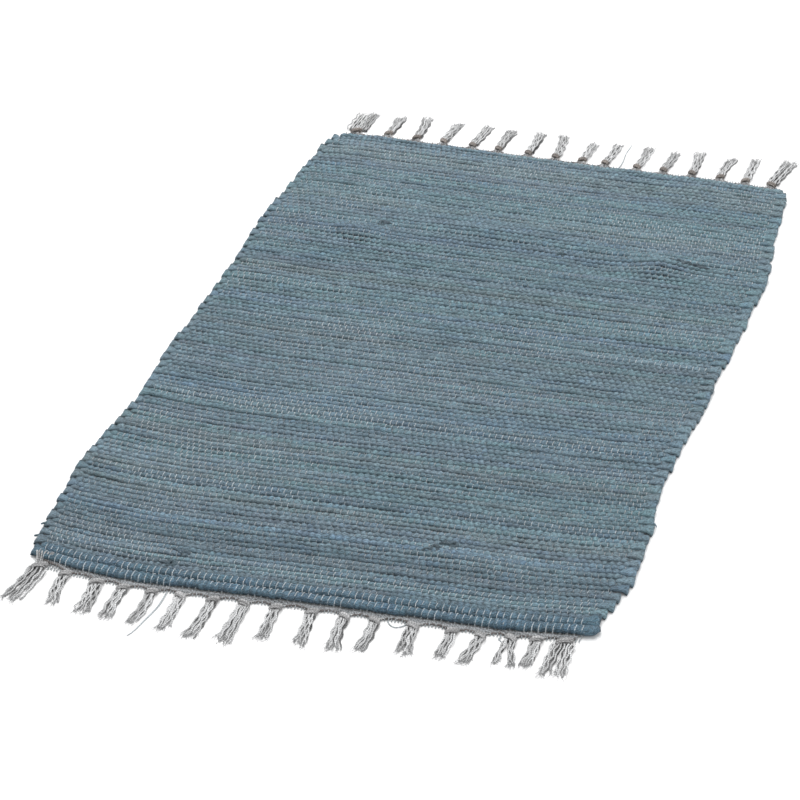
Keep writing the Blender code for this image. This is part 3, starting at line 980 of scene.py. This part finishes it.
# %% Table of the tassels
Tassel = namedtuple("Tassel", "x lean spread fork", defaults=(0.0,))
TASSELS = {  # for each side, x of the knot and how far its tips lean, spread and part, all in mm
    -1: (
        Tassel(-269, -7, 22), Tassel(-238, 5, 12), Tassel(-202, 3, 18), Tassel(-173, 1, 13),
        Tassel(-143, -1, 12), Tassel(-113, 1, 12), Tassel(-80, -2, 15), Tassel(-48, 0, 17),
        Tassel(-16, 2, 12), Tassel(20, 4, 13), Tassel(53, 4, 15), Tassel(83, -1, 13),
        Tassel(121, 3, 17), Tassel(159, -1, 12), Tassel(187, -5, 12), Tassel(216, 4, 13, 5.0),
        Tassel(240, -1, 11), Tassel(266, 1, 23, 1.5),
    ),
    1: (
        Tassel(-267, 1, 27), Tassel(-225, 1, 14), Tassel(-187, -4, 14), Tassel(-151, 5, 13),
        Tassel(-113, 5, 13), Tassel(-79, 2, 14), Tassel(-40, 1, 13), Tassel(-5, -5, 12),
        Tassel(29, 2, 12), Tassel(58, 3, 12), Tassel(98, 2, 12), Tassel(131, 4, 12),
        Tassel(166, -3, 13), Tassel(201, 4, 15), Tassel(232, 0, 12), Tassel(264, 10, 19),
    ),
}
FAR_LEFT_HOLD = -265           # the far left knot holds the heading a little to the right of its own middle
hold_places = {side: np.array([row.x for row in rows]) for side, rows in TASSELS.items()}
hold_places[1][0] = FAR_LEFT_HOLD
print("tassels at the near and the far end:", [len(rows) for rows in TASSELS.values()])

# %% Heading sizes
HEADING_DYE = light_of(160, 163, 166)
HEADING_EDGE_DYE = light_of(112, 107, 106)
HEADING_STEP = 1.75            # mm between two points of a heading yarn
HEADING_LENGTH = 545.0
HEADING_SPAN = (0.012, 0.988)  # from where to where it runs, as shares of the width
RIDE_UP = (12.0, 4.5, 0.03)    # mm inwards and upwards at the near left corner, and how soon it fades
PENTAGON = section(5, 0.5 * math.pi)
Loose = namedtuple("Loose", "side x length lean half")
LOOSE_ENDS = (  # single warp ends that missed their knot
    Loose(-1, -129, 72, -13, 0.8), Loose(-1, 205, 8, 1, 0.8), Loose(1, 77, 60, -2, 0.7),
)
SLACK = (94.0, 114.0, 8.0)     # a slack stretch of the near heading's outermost yarn: from x, to x, sag
SLACK_DEPTH = 3.2              # mm by which the outermost yarn draws back between two knots
SLACK_WAY = 14.0               # mm from a knot at which it has drawn back fully
print("loose warp ends in mm:", [row.length for row in LOOSE_ENDS])


# %% Loose yarns of the headings
def outer_edge(x, side):
    """y of a heading's outer edge."""
    left, right = end_edges(side)
    return float(end_line((x - left) / (right - left), side, HEADING_WIDTH)[1])


def lay_loose(strands, row, chance):
    """A loose warp end on the floor past a heading."""
    share = np.linspace(0.0, 1.0, 16)
    x = row.x + row.lean * share ** 3 + 1.6 * np.sin(share * 8.0) * share
    y = outer_edge(row.x, row.side) + row.side * (row.length * share - 1.0)
    z = 0.65 + 1.2 * (1.0 - share) ** 4
    dye = YARN_DYE * chance.uniform(0.8, 0.95)
    half = row.half * (1.0 - 0.5 * share ** 3)
    strands.tube(np.stack([x, y, z], 1), half, 0.6, PENTAGON, dye)


def lay_slack(strands, chance):
    """A slack stretch of yarn that hangs out of the near heading as a shallow loop."""
    start, end, sag = SLACK
    share = np.linspace(0.0, 1.0, 18)
    x = start + (end - start) * share
    y = np.array([outer_edge(place, -1) for place in x]) + 1.0 - sag * np.sin(math.pi * share) ** 0.8
    strands.tube(np.stack([x, y, np.full(18, 0.8)], 1), 0.6, 0.6, PENTAGON, YARN_DYE * 0.8)


print("near heading's outer edge at x = 0: y", round(outer_edge(0.0, -1), 1))


# %% Both headings
def lay_heading(side):
    """The yarns of one heading, with the loose ends that come out of it."""
    strands = Strands(HEADING_YARNS + 3)
    chance = random.Random(SEED + 300 + side)
    count = int(HEADING_LENGTH / HEADING_STEP)
    share = np.linspace(*HEADING_SPAN, count)
    for row in range(HEADING_YARNS):
        x, y = end_line(share, side, (row + 0.5) * HEADING_PITCH)
        over = np.cos((share - warp_shares[(row + (side < 0)) % 2]) / warp_step * math.pi)
        z = 1.5 - 0.35 * over + wander(chance, count, 12, 0.25)
        y = y + wander(chance, count, 19, 0.4) + wander(chance, count, 4, 0.2)
        if side < 0:
            inwards, upwards, width = RIDE_UP
            ride_up = np.exp(-share / width)
            y, z = y + inwards * ride_up, z + upwards * ride_up
        pull = np.min(np.abs(x[:, None] - hold_places[side][None]), axis=1)
        outwards = (row / (HEADING_YARNS - 1)) ** 1.5
        y = y - side * SLACK_DEPTH * outwards * np.clip(pull / SLACK_WAY, 0.0, 1.0) ** 1.5
        dye = HEADING_EDGE_DYE if row == HEADING_YARNS - 1 else HEADING_DYE
        shade = shaded(dye, 1.0 + wander(chance, count, 9, 0.25) + wander(chance, count, 3, 0.2))
        half = 0.56 * HEADING_PITCH * (1.0 + wander(chance, count, 5, 0.16) - 0.12 * over)
        strands.tube(np.stack([x, y, z], 1), half, 0.8 * half, PENTAGON, shade)
    for row in LOOSE_ENDS:
        if row.side == side:
            lay_loose(strands, row, chance)
    if side < 0:
        lay_slack(strands, chance)
    name = f"heading_{END_NAME[side]}"
    return strands.piece(f"{name}_yarns", YARN, "grey_yarn", name)


headings = [lay_heading(-1), lay_heading(1)]
print("heading points:", [len(made.data.vertices) for made in headings])

# %% [markdown]
# ## Tassels
#
# The fringe is the warp itself. Nine or ten ends at a time are tied in one overhand knot against the heading,
# which leaves a round, tightly wrapped lump. Past it the yarns lie side by side, still crimped from the loom,
# and their cut tips untwist and spread. At the near left corner the ends come down over the thick first rag
# into their knot. The knots and tips lie where the solids have them.

# %% Tassel sizes
KNOT_LENGTH = 8.5              # mm along Y
KNOT_SIZES = {-1: (5.8, 3.0), 1: (4.6, 2.5)}   # half width and half height at the near and the far end
KNOT_BROADEST = 1.35           # how much wider a corner knot may be
KNOT_HEIGHT = 3.1              # mm from the floor to the middle of its wraps
BUNDLE = 4.7                   # half width of a tassel just past its knot in mm
WRAPS = 6                      # turns of yarn that show on a knot
YARN_KINDS = ((2.9, 0.88, 1.0), (0.9, 0.9, 0.2))   # height, half width and paleness of upper and lower yarns; the lower ones' paleness is painted shade between the upper ones
TASSEL_DYE = light_of(218, 219, 220)
KNOT_DYES = {-1: light_of(184, 184, 185), 1: light_of(146, 139, 134)}
FRAY_DYE = light_of(216, 217, 219)
CORNER_DROP = np.array([(13, 8.3), (11, 7.9), (8.5, 5.4), (5, 3.2), (0, 2.6), (-3, 2.6)])  # way in, height
CORNER_FAN = (9.0, 4.0)        # half widths of the ends over the corner at their start and at the knot
ROOT_FAN = (9.0, 2.4)          # the same of the ends that come out of the heading
ROOT_ENDS = 7                  # how many there are of each
MAP_ROWS = 80                  # rows of a tassel's packed map
SQUARE = section(4)
print("wraps of a knot:", WRAPS, "and its sizes in mm:", KNOT_SIZES)


# %% Knots
def lay_knot(strands, x, y, side, broad, chance):
    """A core with yarns wrapped slantwise round it; the core is painted dark as shade between the wraps."""
    half, high = KNOT_SIZES[side]
    half = half * broad
    along = np.linspace(-1.0, 1.0, 7)
    body = np.sqrt(np.clip(1.0 - (0.93 * along) ** 2, 0.05, 1.0))
    core = np.stack([np.full(7, x), y + side * along * 0.46 * KNOT_LENGTH, 2.9 - 0.4 * along], 1)
    # painted shade: the core shows dark between the wraps
    painted_core_shade = KNOT_DYES[side] * 0.3
    strands.tube(core, 0.84 * half * body, 0.84 * high * body, section(8), painted_core_shade, turns=4.0)
    lean = chance.choice((-1.0, 1.0))
    for number in range(WRAPS):
        at = -0.72 + 1.44 * number / (WRAPS - 1)
        size = math.sqrt(1.0 - (0.8 * at) ** 2)
        angles = np.linspace(0.0, 2.0 * math.pi, 17)
        slant = lean * 0.34 + chance.uniform(-0.12, 0.12)
        ring = np.stack([
            x + half * size * np.cos(angles),
            y + side * (at * 0.44 * KNOT_LENGTH + slant * half * np.cos(angles)),
            KNOT_HEIGHT + high * size * np.sin(angles),
        ], 1)
        outward = unit(ring - [x, y, KNOT_HEIGHT])
        shade = shaded(KNOT_DYES[side], chance.uniform(0.65, 1.15) + wander(chance, 17, 4, 0.2))
        strands.tube(ring, 0.78, 0.8, SQUARE, shade, ups=outward)


knot_widths = {END_NAME[side]: 2.0 * half for side, (half, _) in KNOT_SIZES.items()}
print("widths of a usual knot in mm:", knot_widths)


# %% Loose yarns of a tassel
def start_half(row):
    """Half width of a tassel just past its knot: the wide corner tassels start wider."""
    return max(BUNDLE, 0.8 * row.spread - 8.0)


def lay_yarns(strands, row, y, length, side, chance):
    """The loose yarns past a knot: stacked where they leave it, and spread on the floor at their tips."""
    points = 15
    share = np.linspace(0.0, 1.0, points)
    bow = chance.uniform(-1.6, 1.6)
    count = round(7 + 0.35 * row.spread)
    begin = start_half(row)
    for number in range(count):
        place = (number + 0.5) / count * 2.0 - 1.0 + chance.uniform(-0.12, 0.12)
        level, thick, paleness_and_shade = YARN_KINDS[number % 2]
        reach = length * chance.uniform(0.84, 1.0)
        phase = chance.uniform(0.0, 6.28)
        crimp = chance.uniform(0.4, 1.2)
        across = place * (begin + (0.5 * row.spread - begin) * share ** 2.2) + row.lean * share ** 1.5
        across = across + row.fork * math.copysign(1.0, place) * share
        across = across + bow * np.sin(math.pi * share) + crimp * np.sin(phase + share * reach / 2.6)
        across = across + chance.uniform(-1.5, 1.5) * share ** 3
        ripple = 0.35 * np.abs(np.sin(phase * 1.7 + share * reach / 3.4))
        z = level * (1.0 - 0.75 * share ** 0.8) + ripple + 0.5
        path = np.stack([row.x + across, y + side * (reach * share - 1.5), z], 1)
        half = thick * (1.0 - 0.35 * share ** 4)
        # painted shade on the lower yarns, which fades towards their tips where they spread; the rest is a
        # random change of tone
        paleness_and_shade = paleness_and_shade * chance.uniform(0.65, 1.15) + (1.0 - paleness_and_shade) * 0.55 * share ** 4
        shade = shaded(TASSEL_DYE, paleness_and_shade + wander(chance, points, 4, 0.12))
        strands.tube(path, half, half, PENTAGON, shade)
        lay_fray(strands, path[-3:], side, chance)


def lay_fray(strands, tip, side, chance):
    """Fine fibres that have come loose at a yarn's tip."""
    for _ in range(3):
        start = tip[chance.choice((0, 1, 2))]
        angle = chance.uniform(-0.7, 0.7)
        length = chance.uniform(4.0, 9.0)
        share = np.linspace(0.0, 1.0, 4)
        curl = chance.uniform(-1.8, 1.8)
        x = start[0] + math.sin(angle) * length * share + curl * np.sin(share * 3.0)
        y = start[1] + side * math.cos(angle) * length * share
        z = start[2] * (1.0 - share) + 0.25 + 0.8 * share * chance.random()
        strands.tube(np.stack([x, y, z], 1), 0.22 * (1.0 - 0.6 * share), 0.2, TRIANGLE, FRAY_DYE)


half_widths = [start_half(row) for rows in TASSELS.values() for row in rows]
print("half widths past the knots in mm:", min(half_widths), "to", round(max(half_widths), 1))


# %% Roots of the tassels
def lay_corner(strands, x, y, chance):
    """Warp ends that run down over the thick first rag into the knot at the near left corner."""
    for number in range(ROOT_ENDS):
        place = 2.0 * number / (ROOT_ENDS - 1) - 1.0 + chance.uniform(-0.1, 0.1)
        share = np.linspace(0.0, 1.0, len(CORNER_DROP))
        path = np.stack([
            x + place * between(CORNER_FAN, share) + chance.uniform(-0.6, 0.6) * np.sin(3.0 * share),
            y + CORNER_DROP[:, 0],
            CORNER_DROP[:, 1] + chance.uniform(0.0, 0.4),
        ], 1)
        strands.tube(path, 0.9, 0.85, SQUARE, TASSEL_DYE * chance.uniform(0.45, 0.95))


def lay_roots(strands, x, y, side, chance):
    """The warp ends on their way out of the heading into the knot."""
    for number in range(ROOT_ENDS):
        place = (number + 0.5) / ROOT_ENDS * 2.0 - 1.0
        share = np.linspace(0.0, 1.0, 4)
        path = np.stack([
            x + place * between(ROOT_FAN, share ** 0.8),
            y + side * (-3.0 + 5.5 * share),
            1.6 + 1.5 * share + 0.4 * np.sin(3.0 * share),
        ], 1)
        strands.tube(path, 0.6, 0.6, SQUARE, TASSEL_DYE * chance.uniform(0.3, 1.1))


print("points of the way down at the corner:", len(CORNER_DROP))

# %% All the tassels
tassels = []
for side, rows in TASSELS.items():
    for number, row in enumerate(rows, 1):
        name = f"tassel_{END_NAME[side]}_{number:02d}"
        low, high = (np.array(corner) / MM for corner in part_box(name))
        root = high[1] if side < 0 else low[1]
        tip = low[1] if side < 0 else high[1]
        chance = random.Random(SEED * 100 + side * 40 + number)
        strands = Strands(MAP_ROWS)
        broad = min(math.sqrt(start_half(row) / BUNDLE), KNOT_BROADEST)
        lay_roots(strands, row.x, root, side, chance)
        if side < 0 and number == 1:
            lay_corner(strands, row.x, root, chance)
        lay_knot(strands, row.x, root + side * 0.5 * KNOT_LENGTH, side, broad, chance)
        length = abs(tip - root) - KNOT_LENGTH + 1.5
        lay_yarns(strands, row, root + side * KNOT_LENGTH, length, side, chance)
        tassels.append(strands.piece(f"{name}_yarns", YARN, "grey_yarn", name))
print("tassels:", len(tassels), "points:", sum(len(made.data.vertices) for made in tassels))

# %% [markdown]
# ## Sizes
#
# The three stretches of rag passes are the mat's cloth, and lie on the floor as they were woven. Their flat
# sizes are the mat's mean width and each one's stretch of its mean length.

# %% Cloth and sizes
MEAN_WIDTH = 595.0             # mean width of the ground in mm
part_edges = [float(edges[part * PICKS // CLOTH_PARTS]) for part in range(CLOTH_PARTS + 1)]
near_count = len(TASSELS[-1])
with_near = [headings[0], warp_parts[0], *tassels[:near_count]]
with_far = [headings[1], warp_parts[1], *tassels[near_count:]]
for part, others in enumerate((with_near, [], with_far)):
    length = LENGTH * (part_edges[part + 1] - part_edges[part])
    flat = (MEAN_WIDTH * MM, length * MM)
    surface = 0.5 * sum(face.area for face in cloth_parts[part].data.polygons)
    print("cloth part", part + 1, "upper surface by flat size:", round(surface / flat[0] / flat[1], 2))
everything = cloth_parts + warp_parts + headings + tassels
triangles = sum(len(loop.vertices) - 2 for made in everything for loop in made.data.polygons)
print("pieces:", len(everything), "triangles:", triangles)
